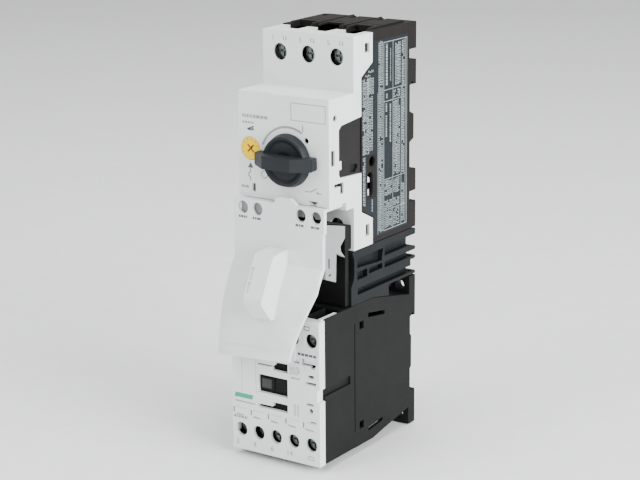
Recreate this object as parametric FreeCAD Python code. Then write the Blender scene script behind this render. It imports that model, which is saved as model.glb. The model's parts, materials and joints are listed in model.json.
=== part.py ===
import FreeCAD, Part
import os
from FreeCAD import Vector

# Combination motor starter: a rotary-handle motor protection breaker on top, a small contactor
# below, a ribbed connecting frame between them and a plug-in link module with a curved cover.
# Millimetres. X runs left to right across the front, the front faces -Y and the rail side is the
# plane y = 0. Heights below are counted from the lowest edge; at export everything is lowered by
# ORIGIN_HEIGHT, so the origin is the centre of the contactor's four fixing holes on that plane.

# ---------------------------------------------------------------- driving dimensions
HALF = 22.5                 # half of the 45 mm module width
WALL = 1.5
INNER = HALF - WALL
ORIGIN_HEIGHT = 34.0

# breaker
BRK_BOTTOM = 90.0
BRK_TOP = 179.9
BRK_RIDGE = 181.0           # top of the ridges between the raised panels
COVER_TOP = 179.4
FACE_Y = -66.9              # front of the block that carries the handle
FACE_LOW = 112.0
FACE_HIGH = 156.4
SHOULDER_Y = -48.8          # front of the terminal shoulders above and below it
SEAM_Y = -34.4              # joint between white cover and dark base
SEAM_FRONT_Y = -43.0
BRK_SEAT_Y = -5.0           # where the breaker rests on the rail's front
BRK_RAIL = (116.2, 153.2)
POLES = (-14.0, 0.0, 14.0)
LINE_SCREW_Z = 170.4
LOAD_SCREW_Z = 99.6
BRK_HEAD_Y = -45.2          # front of the breaker's terminal screws, below the shoulder
CLIP_TAB_Z = (126.3, 129.9)  # white tab of the cover in each flank's accessory window
PIVOT_X = 2.5               # handle axis
PIVOT_Z = 129.6
DIAL_X = -16.5
DIAL_Z = 132.5
BRK_CAVITY_Y = -7.0

# contactor
CON_LOW = 2.8
CON_HIGH = 66.3
CON_FRONT_Y = -75.0
CON_SEAM_Y = -71.0
CON_SPLIT_Y = -48.7         # housing in front, magnet base behind
CON_SEAT_Y = -4.0
CON_RAIL = (15.5, 50.0)
CON_PITCH = 9.0
CON_COLUMNS = [CON_PITCH * i for i in (-2, -1, 0, 1, 2)]
CONTACT_COLUMNS = CON_COLUMNS[:4]
COIL_COLUMN = CON_COLUMNS[4]
UPPER_SCREW_Z = 56.9
LOWER_SCREW_Z = 11.6
FIXING_X = 17.5             # the contactor's holes: 35 mm by 60 mm
FIXING_Z = (4.0, 64.0)
FIXING_R = 2.2

# terminal screws
BRK_SCREW_R = 2.0
CON_SCREW_R = 1.5
CON_HEAD_BACK_Y = -68.7
CON_HEAD_Y = (-71.4, -71.8, -70.6)   # head fronts: upper row, lower row, the two deeper at the left
OPEN_TIP_Y = -66.4          # contactor screws backed out, and those clamping a conductor
CLAMPED_TIP_Y = -60.0

# link module and connecting frame
FRAME_LOW = 66.4
LINK_TOP = 111.7
CONDUCTOR_Z = 79.0
CONDUCTOR_T = 1.6


# ---------------------------------------------------------------- helpers
def box(x0, x1, y0, y1, z0, z1):
    return Part.makeBox(x1 - x0, y1 - y0, z1 - z0, Vector(x0, y0, z0))


def rod_x(y, z, radius, x0, x1):
    return Part.makeCylinder(radius, x1 - x0, Vector(x0, y, z), Vector(1, 0, 0))


def rod_y(x, z, radius, y0, y1):
    return Part.makeCylinder(radius, y1 - y0, Vector(x, y0, z), Vector(0, 1, 0))


def rod_z(x, y, radius, z0, z1):
    return Part.makeCylinder(radius, z1 - z0, Vector(x, y, z0), Vector(0, 0, 1))


def cone_y(x, z, radius0, radius1, y0, y1):
    return Part.makeCone(radius0, radius1, y1 - y0, Vector(x, y0, z), Vector(0, 1, 0))


def extrude(points, direction):
    wire = Part.makePolygon(points + [points[0]])
    return Part.Face(wire).extrude(direction)


def side_shape(outline, x0, x1):
    """A prism along X from (y, z) points."""
    return extrude([Vector(x0, y, z) for y, z in outline], Vector(x1 - x0, 0, 0))


def front_shape(outline, y0, y1):
    """A prism along Y from (x, z) points."""
    return extrude([Vector(x, y0, z) for x, z in outline], Vector(0, y1 - y0, 0))


def plan_shape(outline, z0, z1):
    """A prism along Z from (x, y) points."""
    return extrude([Vector(x, y, z0) for x, y in outline], Vector(0, 0, z1 - z0))


def rounded(solid, radius, axis):
    """Round the edges of a box that run along one axis."""
    edges = []
    for edge in solid.Edges:
        run = edge.Vertexes[-1].Point - edge.Vertexes[0].Point
        if abs(abs(getattr(run, axis)) - run.Length) < 1e-6 and run.Length > 0:
            edges.append(edge)
    return solid.makeFillet(radius, edges)


def coil_spring(start, axis, length, radius, wire, turns):
    """A helical spring from start along axis."""
    rise = length - wire
    helix = Part.Wire(Part.makeHelix(rise / turns, rise, radius))
    section = Part.Wire(Part.makeCircle(wire / 2, Vector(radius, 0, 0), Vector(0, 1, 0)))
    spring = helix.makePipeShell([section], True, True)
    spring.translate(Vector(0, 0, wire / 2))
    turn = FreeCAD.Rotation(Vector(0, 0, 1), axis)
    spring.Placement = FreeCAD.Placement(start, turn).multiply(spring.Placement)
    return spring


def slotted_screw(x, z, head_y, head_r, head_t, shank_r, tip_y):
    """A terminal screw that faces the front, with a cross recess."""
    head = rod_y(x, z, head_r, head_y, head_y + head_t)
    arm = head_r * 0.75
    blade = head_r * 0.16
    recess = box(x - arm, x + arm, head_y, head_y + 1.1, z - blade, z + blade)
    recess = recess.fuse(box(x - blade, x + blade, head_y, head_y + 1.1, z - arm, z + arm))
    return head.cut(recess).fuse(rod_y(x, z, shank_r, head_y + head_t, tip_y))


def clamp_cage(x, z, half_width, half_height, y0, y1, wall, side_wall, screw_r):
    """A terminal cage that a wire enters along Z and a screw along Y."""
    cage = box(x - half_width, x + half_width, y0, y1, z - half_height, z + half_height)
    space = box(x - half_width + side_wall, x + half_width - side_wall, y0 + wall, y1 - wall * 0.75,
                z - half_height - 1, z + half_height + 1)
    return cage.cut([space, rod_y(x, z, screw_r + 0.02, y0 - 1, y0 + wall + 1)])


NODES = {}


def node(name, *solids):
    NODES[name] = list(solids)


# ---------------------------------------------------------------- breaker housing
SEAM = [(SEAM_Y, BRK_BOTTOM), (SEAM_Y, 101.2), (SEAM_FRONT_Y, 105.4), (SEAM_FRONT_Y, 161.9),
        (SEAM_Y, 167.2), (SEAM_Y, COVER_TOP)]
WIRE_HALF = 4.6             # half width of the breaker's wire funnels
WIRE_Y = (-42.0, -27.0)
PHASE_WALL_X = 7.0
FUNNEL_Z = ((177.0, 181.0), (89.0, 93.0))   # cuts through the top and the bottom wall


def breaker_base():
    front = [(SEAM_Y, BRK_BOTTOM + 0.3)] + SEAM[1:5] + [(SEAM_Y, BRK_TOP)]
    rear = [(0, BRK_TOP), (0, 168.5), (-5.5, 168.5), (-5.5, 163.8), (0, 163.8), (0, BRK_RAIL[1]),
            (BRK_SEAT_Y, BRK_RAIL[1]), (BRK_SEAT_Y, 141.8), (-1.8, 140.3), (-1.8, 129.8),
            (BRK_SEAT_Y, 128.3), (BRK_SEAT_Y, BRK_RAIL[0]), (0, BRK_RAIL[0]), (0, 106.6),
            (-5.0, 106.6), (-5.0, 102.0), (0, 102.0), (0, BRK_BOTTOM + 0.3)]
    body = side_shape(front + rear, -HALF, HALF)
    cavity = box(-INNER, INNER, -50, BRK_CAVITY_Y, 92.0, 178.0)
    tools = [cavity]
    for x in POLES:
        for z0, z1 in FUNNEL_Z:
            tools.append(box(x - WIRE_HALF, x + WIRE_HALF, SEAM_Y - 1, WIRE_Y[1], z0, z1))
    # undercut that hooks over the rail's upper flange
    tools.append(box(-HALF - 1, HALF + 1, BRK_SEAT_Y + 1.0, BRK_SEAT_Y + 2.4,
                     BRK_RAIL[1] - 1, BRK_RAIL[1] + 1.2))
    # a groove on the top, between the poles
    for x in (-PHASE_WALL_X, PHASE_WALL_X):
        tools.append(box(x - 0.8, x + 0.8, SEAM_Y - 1, 1, 179.0, BRK_TOP + 1))
    # moulding pockets in the rear blocks
    for z0, z1 in ((92.0, 100.0), (108.4, 114.4), (156.2, 162.0), (170.4, 178.0)):
        for x0, x1 in ((-20.3, -8.6), (8.6, 20.3)):
            tools.append(box(x0, x1, -4.4, 1, z0, z1))
    # latch openings in the right and left flank
    for x in (-HALF, INNER):
        tools.append(rod_x(-34.9, 125.5, 2.2, x - 0.5, x + WALL + 0.5))
        tools.append(rounded(box(x - 0.5, x + WALL + 0.5, -38.4, -34.3, 110.6, 121.2), 1.9, "x"))
    tools.append(latch_channel())
    base = body.cut(tools)
    walls = []
    for x in (-PHASE_WALL_X, PHASE_WALL_X):
        wall = box(x - 0.7, x + 0.7, -33.0, BRK_CAVITY_Y + 0.5, 91.5, 178.5)
        walls.append(wall.cut(box(x - 1, x + 1, -34, -28.4, 140.3, 149.7)))
    peg = box(-2.0, 2.0, -4.3, -0.5, LATCH_PEG_Z, LATCH_PEG_Z + 1.0)
    return base.fuse(walls + top_panels() + snap_tongues() + [peg]).removeSplitter()


def top_panels():
    """A stepped panel over each pole, and a thin ridge between neighbours."""
    solids = []
    for x in POLES:
        panel = side_shape([(-33.2, BRK_TOP - 0.5), (-31.6, BRK_RIDGE - 0.3), (-6.6, BRK_RIDGE - 0.1),
                            (-6.0, BRK_TOP - 0.5)], x - 6.1, x + 6.1)
        step = box(x - 4.4, x + 4.4, -12.2, -5.0, BRK_TOP + 0.5, BRK_RIDGE + 1)
        line = box(x - 7.0, x + 7.0, -23.4, -22.9, BRK_TOP + 0.6, BRK_RIDGE + 1)
        funnel = box(x - WIRE_HALF, x + WIRE_HALF, SEAM_Y - 1, WIRE_Y[1], 175, BRK_RIDGE + 1)
        solids.append(panel.cut([step, line, funnel]))
    for x in (-PHASE_WALL_X, PHASE_WALL_X):
        solids.append(box(x - 0.25, x + 0.25, -34.0, -3.0, 178.0, BRK_RIDGE))
    return solids


def snap_tongues():
    """Catches beside the terminals that snap into the cover's small windows."""
    solids = []
    for side in (-1, 1):
        blade = sorted((side * 19.4, side * 20.7))
        root = sorted((side * 19.4, side * (INNER + 0.1)))
        for z0, z1 in ((170.6, 176.8), (93.0, 100.6)):
            solids.append(box(blade[0], blade[1], -42.0, -32.0, z0, z1))
            solids.append(box(root[0], root[1], -34.2, -32.0, z0, z1))
        nose = sorted((side * 20.7, side * 21.8))
        for y0, y1, z0, z1 in ((-39.9, -37.4, 172.1, 175.2), (-39.4, -37.4, 94.8, 99.0)):
            solids.append(box(nose[0], nose[1], y0, y1, z0, z1))
    return solids


LATCH_PEG_Z = 100.0
LATCH_TOP = 117.4


def latch_channel():
    return box(-6.3, 6.3, -4.1, 1, BRK_BOTTOM - 1, BRK_RAIL[0] + 1)


def breaker_rail_latch():
    plate = box(-6.0, 6.0, -3.8, -0.2, 93.3, LATCH_TOP)
    nose = side_shape([(-4, LATCH_TOP), (-2.2, LATCH_TOP), (-4, LATCH_TOP - 1.6)], -7, 7)
    window = box(-2.3, 2.3, -5, 1, 95.5, 110.0)
    eye = box(-3.0, 3.0, -2.0, 1, 93.9, 94.9)
    return plate.cut([nose, window, eye])


def breaker_latch_spring():
    return coil_spring(Vector(0, -2.0, LATCH_PEG_Z + 1.0), Vector(0, 0, 1), 9.0, 1.3, 0.45, 8)


def cover_profile(inset):
    """The stepped front of the white cover, moved inwards by inset."""
    return [(SHOULDER_Y + inset, BRK_BOTTOM + inset), (SHOULDER_Y + inset, FACE_LOW + inset),
            (FACE_Y + inset, FACE_LOW + inset), (FACE_Y + inset, FACE_HIGH - inset),
            (SHOULDER_Y + inset, FACE_HIGH - inset), (SHOULDER_Y + inset, COVER_TOP - inset)]


def breaker_cover():
    outer = side_shape(cover_profile(0) + list(reversed(SEAM)), -HALF, HALF)
    inner = side_shape(cover_profile(WALL) + [(-20, COVER_TOP - WALL), (-20, BRK_BOTTOM + WALL)],
                       -INNER, INNER)
    shell = outer.cut(inner)
    # bearing pad for the current dial
    pad = box(-INNER, DIAL_X + 5.6, FACE_Y + 1.0, FACE_Y + 3.5, DIAL_Z - 5.6, DIAL_Z + 5.6)
    shell = shell.fuse(pad)
    tools = [rod_y(DIAL_X, DIAL_Z, DIAL_R + 0.25, FACE_Y - 1, FACE_Y + 1.6),
             rod_y(DIAL_X, DIAL_Z, STEM_R + RUNNING_FIT, FACE_Y, FACE_Y + 5),
             rod_y(PIVOT_X, PIVOT_Z, SHAFT_R + 0.4, FACE_Y - 1, FACE_Y + 2),
             box(-16.0, -14.2, FACE_Y - 1, FACE_Y + 2, 114.4, 117.9),
             rod_y(11.4, 138.6, 1.25, FACE_Y - 1, FACE_Y + 2)]
    for x in POLES:
        for z in (LINE_SCREW_Z, LOAD_SCREW_Z):
            tools.append(rod_y(x, z, 3.6, SHOULDER_Y - 1, SHOULDER_Y + 2))
        for z0, z1 in FUNNEL_Z:
            tools.append(box(x - WIRE_HALF, x + WIRE_HALF, WIRE_Y[0], SEAM_Y + 1, z0, z1))
    # small lock recess at the lower edge of the face
    tools.append(front_shape([(11.9, 113.9), (16.9, 113.9), (16.2, 111), (12.6, 111)],
                             FACE_Y - 1, FACE_Y + 1.1))
    for x0, x1 in ((-HALF - 1, -INNER + 0.5), (INNER - 0.5, HALF + 1)):
        tools.append(side_shape(window_outline(0.0, -40.0), x0, x1))
        tools.append(rod_x(-62.4, 148.2, 1.35, x0, x1))
        tools.append(box(x0, x1, -65.3, -62.8, 128.8, 135.3))
        tools.append(side_shape([(-63.2, 119.5), (-63.2, 121.0), (-56.4, 121.0), (-56.4, 116.2),
                                 (-58.8, 116.2), (-58.8, 119.5)], x0, x1))
        tools.append(box(x0, x1, -40.3, -37.0, 171.7, 175.6))
        tools.append(box(x0, x1, -39.8, -37.0, 94.4, 99.4))
    guides = [box(17.5, HALF, -54.6, SHOULDER_Y + 0.5, 108.5, FACE_LOW + 0.5)]
    for x0, x1 in ((-22.3, -21.2), (21.2, 22.3)):
        guides.append(box(x0, x1, -60.5, -57.6, CLIP_TAB_Z[0], CLIP_TAB_Z[1]))
    return shell.cut(tools).fuse(guides).removeSplitter()


def window_outline(inset, back):
    """The accessory window in a flank, as (y, z) points, open towards the base."""
    return [(-59.7 + inset, 124.2), (-59.7 + inset, 142.9), (-57.8 + inset, 144.5 - inset),
            (back, 146.1 - inset), (back, 122.0 + inset), (-58.6 + inset, 123.0 + inset)]


def side_blanking_plate(side):
    """Dark insert that fills the accessory window in a flank and backs the small openings."""
    x0, x1 = sorted((side * 19.5, side * 20.7))
    front = -65.1 if side > 0 else -62.0    # the left one stays clear of the dial's pad
    plate = box(x0, x1, front, -43.4, 114.8, 152.0)
    pad0, pad1 = sorted((side * 20.7, side * 22.1))
    pad = side_shape(window_outline(0.3, -43.3), pad0, pad1)
    hole = [(-50.9, 127.2), (-45.6, 126.6), (-45.6, 124.8), (-47.4, 123.4), (-50.9, 123.8)]
    notch = box(-23, 23, -60, -57.3, CLIP_TAB_Z[0] - 0.3, CLIP_TAB_Z[1] + 0.3)
    behind = box(-20.8, 20.8, -70, -40, 110, 160)
    insert = plate.fuse(pad.cut(notch.cut(behind))).cut(side_shape(hole, pad0, pad1))
    if side < 0:
        return insert
    return insert.fuse([rod_x(-62.4, 148.2, 1.05, 20.7, 21.9),
                        box(20.7, 21.9, -65.0, -63.1, 129.1, 135.0),
                        box(20.7, 21.9, -58.5, -56.7, 116.5, 120.7)])


# ---------------------------------------------------------------- breaker operating parts
HANDLE_BACK = FACE_Y - 0.3
WING_FRONT = -70.7
BLADE_FRONT = -76.0
GRIP_HALF = 2.75            # half height of the handle's bar
WING_HALF = 14.3            # half length of the bar; it clears the link cover's tab when upright
BLADE_HALF = 6.9            # half length of the bar's raised front
DISC_R = 11.2
DISC_FRONT_R = 10.2
DISH_R = 9.2
SHAFT_R = 4.0
SOCKET_DEPTH = 3.0          # how far the shaft reaches into the handle
CAM_Y = (-57.0, -54.6)
RUNNING_FIT = 0.05          # radial clearance of shafts in their bores


def rotary_handle():
    bottom = PIVOT_Z - GRIP_HALF
    top = PIVOT_Z + GRIP_HALF
    disc = cone_y(PIVOT_X, PIVOT_Z, DISC_FRONT_R, DISC_R, WING_FRONT, HANDLE_BACK)
    dish = cone_y(PIVOT_X, PIVOT_Z, DISH_R, DISH_R - 1.4, WING_FRONT, WING_FRONT + 0.9)
    wing = rounded(box(PIVOT_X - WING_HALF, PIVOT_X + WING_HALF, WING_FRONT, HANDLE_BACK,
                       bottom, top), 0.8, "y")
    blade = plan_shape([(PIVOT_X - WING_HALF + 0.2, WING_FRONT), (PIVOT_X - BLADE_HALF, BLADE_FRONT),
                        (PIVOT_X + BLADE_HALF, BLADE_FRONT), (PIVOT_X + WING_HALF - 0.2, WING_FRONT)],
                       bottom, top)
    socket = rod_y(PIVOT_X, PIVOT_Z, SHAFT_R, HANDLE_BACK - SOCKET_DEPTH, HANDLE_BACK + 1)
    return disc.cut(dish).fuse([wing, blade]).removeSplitter().cut(socket)


def handle_shaft():
    shaft = rod_y(PIVOT_X, PIVOT_Z, SHAFT_R, HANDLE_BACK - SOCKET_DEPTH, CAM_Y[0])
    flat = box(PIVOT_X - 5, PIVOT_X + 5, CAM_Y[0] - 2.6, CAM_Y[1], PIVOT_Z + 3.1, PIVOT_Z + 5)
    return shaft.cut(flat)


def handle_cam():
    disc = rod_y(PIVOT_X, PIVOT_Z, 6.8, CAM_Y[0], CAM_Y[1])
    peg = rod_y(PIVOT_X - 4.8, PIVOT_Z, 1.2, CAM_Y[1], CAM_Y[1] + 2.0)
    lobe = box(PIVOT_X + 4.0, PIVOT_X + 7.6, CAM_Y[0], CAM_Y[1], PIVOT_Z - 1.6, PIVOT_Z + 1.6)
    return disc.fuse([peg, lobe])


DIAL_R = 4.7
STEM_R = 2.0
STEM_END_Y = FACE_Y + 7.0


def current_dial():
    disc = rod_y(DIAL_X, DIAL_Z, DIAL_R, FACE_Y, FACE_Y + 1.4)
    arm = 2.3
    blade = 0.45
    cross = box(DIAL_X - arm, DIAL_X + arm, FACE_Y - 1, FACE_Y + 0.8, DIAL_Z - blade, DIAL_Z + blade)
    cross = cross.fuse(box(DIAL_X - blade, DIAL_X + blade, FACE_Y - 1, FACE_Y + 0.8,
                           DIAL_Z - arm, DIAL_Z + arm))
    cross.rotate(Vector(DIAL_X, 0, DIAL_Z), Vector(0, 1, 0), 45)
    stem = rod_y(DIAL_X, DIAL_Z, STEM_R, FACE_Y + 1.4, STEM_END_Y)
    # eccentric that shifts the trip bar's stop when the dial is turned
    cam = rod_y(DIAL_X + 0.6, DIAL_Z, 2.4, STEM_END_Y, STEM_END_Y + 2.0)
    return disc.cut(cross).fuse([stem, cam])


def test_lever():
    tab = box(-15.9, -14.3, -65.0, -62.0, 114.6, 117.7)
    arm = box(-17.4, -12.8, -62.0, -60.4, 114.0, 121.0)
    tail = box(-15.9, -14.3, -60.4, -47.0, 118.6, 120.6)
    return tab.fuse([arm, tail])


CHEEKS = ((PIVOT_X - 9.4, PIVOT_X - 8.4), (PIVOT_X + 8.4, PIVOT_X + 9.4))
TRIP_BAR_Y = -38.5
TRIP_BAR_Z = 124.0
LEVER_Y = -50.0
LEVER_Z = 151.5
LEVER_ARM = 8.5
LEVER_PIN_R = 1.0
TRIP_BAR_R = 1.5


def mechanism_frame():
    """Two steel cheeks and a front plate that carry the shaft, the lever and the trip bar."""
    outline = [(-62.5, 117.0), (-46.0, 117.0), (-46.0, 119.8), (-36.2, 119.8), (-36.2, 128.2),
               (-46.0, 128.2), (-46.0, 154.4), (-62.5, 154.4)]
    cheeks = [side_shape(outline, x0, x1) for x0, x1 in CHEEKS]
    plate = box(CHEEKS[0][0], CHEEKS[1][1], -63.5, -62.5, 117.0, 154.4)
    frame = plate.fuse(cheeks)
    x0 = CHEEKS[0][0] - 1
    x1 = CHEEKS[1][1] + 1
    return frame.cut([rod_y(PIVOT_X, PIVOT_Z, SHAFT_R + RUNNING_FIT, -65, -60),
                      rod_x(LEVER_Y, LEVER_Z, LEVER_PIN_R, x0, x1),
                      rod_x(TRIP_BAR_Y, TRIP_BAR_Z, TRIP_BAR_R + RUNNING_FIT, x0, x1)])


def lever_pin():
    return rod_x(LEVER_Y, LEVER_Z, LEVER_PIN_R, CHEEKS[0][0], CHEEKS[1][1])


def latch_lever():
    hub = rod_x(LEVER_Y, LEVER_Z, 2.3, -1.6, 1.6)
    arm = box(-1.6, 1.6, LEVER_Y - 1.1, LEVER_Y + 1.1, LEVER_Z - LEVER_ARM, LEVER_Z)
    tip = rod_x(LEVER_Y, LEVER_Z - LEVER_ARM, 1.3, -1.6, 1.6)
    return hub.fuse([arm, tip]).cut(rod_x(LEVER_Y, LEVER_Z, LEVER_PIN_R + RUNNING_FIT, -3, 3))


def breaker_contact_carrier():
    bar = box(-20.4, 20.4, -43.0, -34.6, 141.5, 148.5)
    windows = [box(x - 3.0, x + 3.0, -41.5, -36.1, 140, 150) for x in POLES]
    stem = box(-2.4, 2.4, LEVER_Y + 1.7, -43.0, 141.5, 145.5)
    return bar.cut(windows).fuse(stem)


def breaker_contact_bridge(x):
    strip = box(x - 2.4, x + 2.4, -37.1, -36.1, 136.6, 153.4)
    pads = [rod_y(x, z, 1.6, -36.1, -35.3) for z in (138.5, 151.5)]
    return strip.fuse(pads)


def breaker_contact_spring(x):
    return coil_spring(Vector(x, -41.5, 145.0), Vector(0, 1, 0), 4.4, 1.8, 0.45, 5)


def breaker_line_contact(x):
    strip = box(x - 3.0, x + 3.0, -29.2, -28.0, 149.2, 176.0)
    return strip.fuse(rod_y(x, 151.5, 1.6, -30.0, -29.2))


def breaker_load_contact(x):
    strip = box(x - 3.0, x + 3.0, -29.2, -28.0, 130.0, 140.8)
    foot = box(x - 3.0, x + 3.0, -28.0, -21.6, 130.0, 131.2)
    return strip.fuse([foot, rod_y(x, 138.5, 1.6, -30.0, -29.2)])


COIL_Y = -16.5


def trip_coil(x):
    """A few turns of heavy copper wire, wound side by side."""
    turns = 6
    pitch = 2.5
    outer = 5.8
    inner = 3.3
    solid = rod_z(x, COIL_Y, outer - 1.0, 112.2, 112.2 + turns * pitch)
    for i in range(turns):
        z = 112.2 + (i + 0.5) * pitch
        ring = Part.makeTorus(outer - 1.2, 1.2, Vector(x, COIL_Y, z), Vector(0, 0, 1))
        solid = solid.fuse(ring)
    return solid.cut(rod_z(x, COIL_Y, inner, 110, 130))


def trip_yoke(x):
    """Steel bracket and guide tube around a trip coil."""
    foot = box(x - 5.0, x + 5.0, -23.0, -8.2, 110.4, 111.8)
    back = box(x - 5.0, x + 5.0, -9.6, -8.2, 110.4, 129.4)
    top = box(x - 5.0, x + 5.0, -22.0, -8.2, 128.0, 129.4)
    tube = rod_z(x, COIL_Y, 3.1, 111.8, 128.0)
    bore = rod_z(x, COIL_Y, 2.55, 112.6, 131)
    return foot.fuse([back, top, tube]).cut(bore)


def trip_plunger(x):
    return rod_z(x, COIL_Y, 2.5, 119.0, 133.0).fuse(rod_z(x, COIL_Y, 3.4, 133.0, 134.4))


def bimetal_strip(x):
    foot = box(x - 2.6, x + 2.6, -35.8, -29.2, 109.0, 110.2)
    strip = box(x - 2.6, x + 2.6, -35.8, -34.8, 110.2, 122.4)
    return foot.fuse(strip)


def breaker_load_strip(x):
    return box(x - 3.0, x + 3.0, -29.2, -28.0, 93.8, 110.2)


def trip_bar():
    bar = rod_x(TRIP_BAR_Y, TRIP_BAR_Z, TRIP_BAR_R, -20.6, 20.6)
    fingers = []
    for x in POLES:
        fingers.append(box(x - 1.3, x + 1.3, TRIP_BAR_Y - 1.0, TRIP_BAR_Y + 0.8, 112.5, TRIP_BAR_Z))
    return bar.fuse(fingers)


def arc_plates(x):
    """Slotted steel plates, one above the other, behind the contacts."""
    plates = []
    for i in range(9):
        z = 137.4 + i * 2.2
        plate = plan_shape([(x - 5.0, -26.0), (x - 1.6, -26.0), (x, -19.0), (x + 1.6, -26.0),
                            (x + 5.0, -26.0), (x + 5.0, -9.0), (x - 5.0, -9.0)], z, z + 0.8)
        plates.append(plate)
    return plates


def arc_side(x0, x1):
    return box(x0, x1, -25.4, -9.6, 136.4, 156.8)


def breaker_cage(x, z):
    return clamp_cage(x, z, 5.0, 6.6, -42.5, -26.4, 2.0, 1.3, BRK_SCREW_R)


def breaker_screw(x, z, tip_y):
    return slotted_screw(x, z, BRK_HEAD_Y, 3.0, 2.4, BRK_SCREW_R, tip_y)


# ---------------------------------------------------------------- contactor
TERMINAL_Y = -57.4          # the terminal chambers are open above and below, in front of this
DIVIDERS = (-13.5, -4.5, 4.5)
TONGUE_Z = 65.0             # the white cover's tongues run back over the top corners
TONGUE_END_Y = -61.0


def contactor_housing():
    """Front part of the dark body, open above and below at the terminals."""
    body = box(-HALF, HALF, CON_SEAM_Y, CON_SPLIT_Y, CON_LOW, CON_HIGH)
    low = CON_LOW + WALL
    high = CON_HIGH - WALL
    tools = [box(-INNER, INNER, CON_SEAM_Y - 1, CON_SPLIT_Y - WALL, low, high),
             box(-15.0, 15.0, CON_SPLIT_Y - 3, CON_SPLIT_Y + 1, 28.4, 39.6),
             box(-INNER, INNER, CON_SEAM_Y - 1, TERMINAL_Y, CON_LOW - 1, CON_HIGH + 1)]
    for z in (18.0, 50.0):
        tools.append(box(15.6, 20.6, CON_SPLIT_Y - 3, CON_SPLIT_Y + 1, z - 0.6, z + 1.6))
    # grip grooves in the flanks, and room for the cover's upper tongues
    for x0, x1 in ((-HALF - 1, -HALF + 1.0), (HALF - 1.0, HALF + 1)):
        tools.append(box(x0, x1, CON_SEAM_Y - 1, -52.0, 32.8, 36.4))
    for x0, x1 in ((-22.0, -20.0), (20.0, 22.0)):
        tools.append(box(x0, x1, CON_SEAM_Y - 1, TONGUE_END_Y + 0.3, TONGUE_Z - 0.3, CON_HIGH + 1))
    return body.cut(tools)


def terminal_dividers():
    """Thin walls between neighbouring terminals; the one beside the coil runs full height."""
    front = CON_SEAM_Y + 0.2
    back = CON_SPLIT_Y - WALL - 0.2
    notch = TERMINAL_Y - 0.2
    low = CON_LOW + 0.1
    high = CON_HIGH - 0.1
    floor = CON_LOW + WALL + 0.2
    ceiling = CON_HIGH - WALL - 0.2
    lower = [(front, low), (notch, low), (notch, floor), (back, floor), (back, 29.6), (front, 29.6)]
    upper = [(front, 39.4), (back, 39.4), (back, ceiling), (notch, ceiling), (notch, high),
             (front, high)]
    walls = []
    for x in DIVIDERS:
        for profile in (lower, upper):
            walls.append(side_shape(profile, x - 0.5, x + 0.5))
    walls.append(side_shape(lower[:4] + upper[2:], 13.0, 14.0))
    return walls


def contactor_screen():
    """Dark insulating sheet behind the white front, open at the screws and the indicator."""
    sheet = box(-20.7, 20.7, CON_FRONT_Y + 2.2, CON_SEAM_Y - 0.3, CON_LOW + 1.6, CON_HIGH - 2.5)
    tools = [box(-8.3, 6.0, -80, -60, 30.6, 37.8)]
    for x in CON_COLUMNS:
        for z in (UPPER_SCREW_Z, LOWER_SCREW_Z):
            tools.append(rod_y(x, z, 3.1, -80, -60))
    return sheet.cut(tools)


def contactor_base():
    """Rear part with the magnet chamber, the rail seat and the fixing lugs."""
    outline = [(CON_SPLIT_Y, CON_LOW), (-34.5, CON_LOW), (-19.0, 5.6), (-5.2, 7.9), (-5.2, 0),
               (0, 0), (0, CON_RAIL[0]), (CON_SEAT_Y, CON_RAIL[0]), (CON_SEAT_Y, 25.9),
               (-3.0, 26.9), (-3.0, 40.9), (CON_SEAT_Y, 41.9), (CON_SEAT_Y, CON_RAIL[1]),
               (0, CON_RAIL[1]), (0, 68.4), (-4.8, 68.4), (-4.8, 60.3), (-35.0, CON_HIGH),
               (CON_SPLIT_Y, CON_HIGH)]
    hollow = [(-50, CON_LOW + WALL), (-34.3, CON_LOW + WALL), (-18.8, 7.1), (-7.0, 9.2),
              (-7.0, 59.2), (-35.2, CON_HIGH - WALL), (-50, CON_HIGH - WALL)]
    whole = side_shape(outline, -HALF, HALF)
    tools = [side_shape(hollow, -INNER, INNER)]
    for z in FIXING_Z:
        for x in (-FIXING_X, FIXING_X):
            tools.append(rod_y(x, z, FIXING_R, -7, 1))
    # undercut for the rail's upper flange, and the clip's channel
    tools.append(box(-HALF - 1, HALF + 1, CON_SEAT_Y + 1.0, CON_SEAT_Y + 2.4,
                     CON_RAIL[1] - 1, CON_RAIL[1] + 1.2))
    tools.append(clip_channel())
    # the upper and lower lug stand clear between the fixing holes
    tools.append(box(-13.0, 13.0, -6.5, 1, 62.5, 70))
    for x0, x1 in ((-HALF - 1, -INNER + 0.5), (INNER - 0.5, HALF + 1)):
        tools.append(box(x0, x1, -44.8, -41.6, 54.8, 58.1))
        tools.append(box(x0, x1, -44.8, -41.6, 10.2, 13.5))
        tools.append(side_shape([(-38.0, 58.4), (-25.0, 56.6), (-25.0, 58.4), (-38.0, 60.4)],
                                x0, x1))
        tools.append(box(x0, x1, CON_SPLIT_Y - 1, CON_SPLIT_Y + 0.5, 9.9, 58.2))
    peg = box(-2.0, 2.0, -3.4, -0.5, CLIP_PEG_Z, CLIP_PEG_Z + 1.0)
    base = whole.cut(tools).fuse(peg)
    # pockets in the underside that the low slots of the flanks look into
    slot = [(-38.0, 7.2), (-26.6, 8.6), (-26.6, 10.2), (-38.0, 8.8)]
    for x0, x1 in ((-INNER, -11.5), (11.5, INNER)):
        cup = box(x0 - 1.2, x1 + 1.2, -39.8, -19.6, CON_LOW - 1, 11.8).common(whole)
        pocket = box(x0, x1, -38.6, -20.8, CON_LOW - 1, 10.6)
        base = base.fuse(cup).cut([pocket, side_shape(slot, -HALF - 1, -INNER + 0.5),
                                   side_shape(slot, INNER - 0.5, HALF + 1)])
    return base


CLIP_PEG_Z = 6.8


def clip_channel():
    return box(-8.3, 8.3, -3.2, 1, -1, CON_RAIL[0] + 1)


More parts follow.
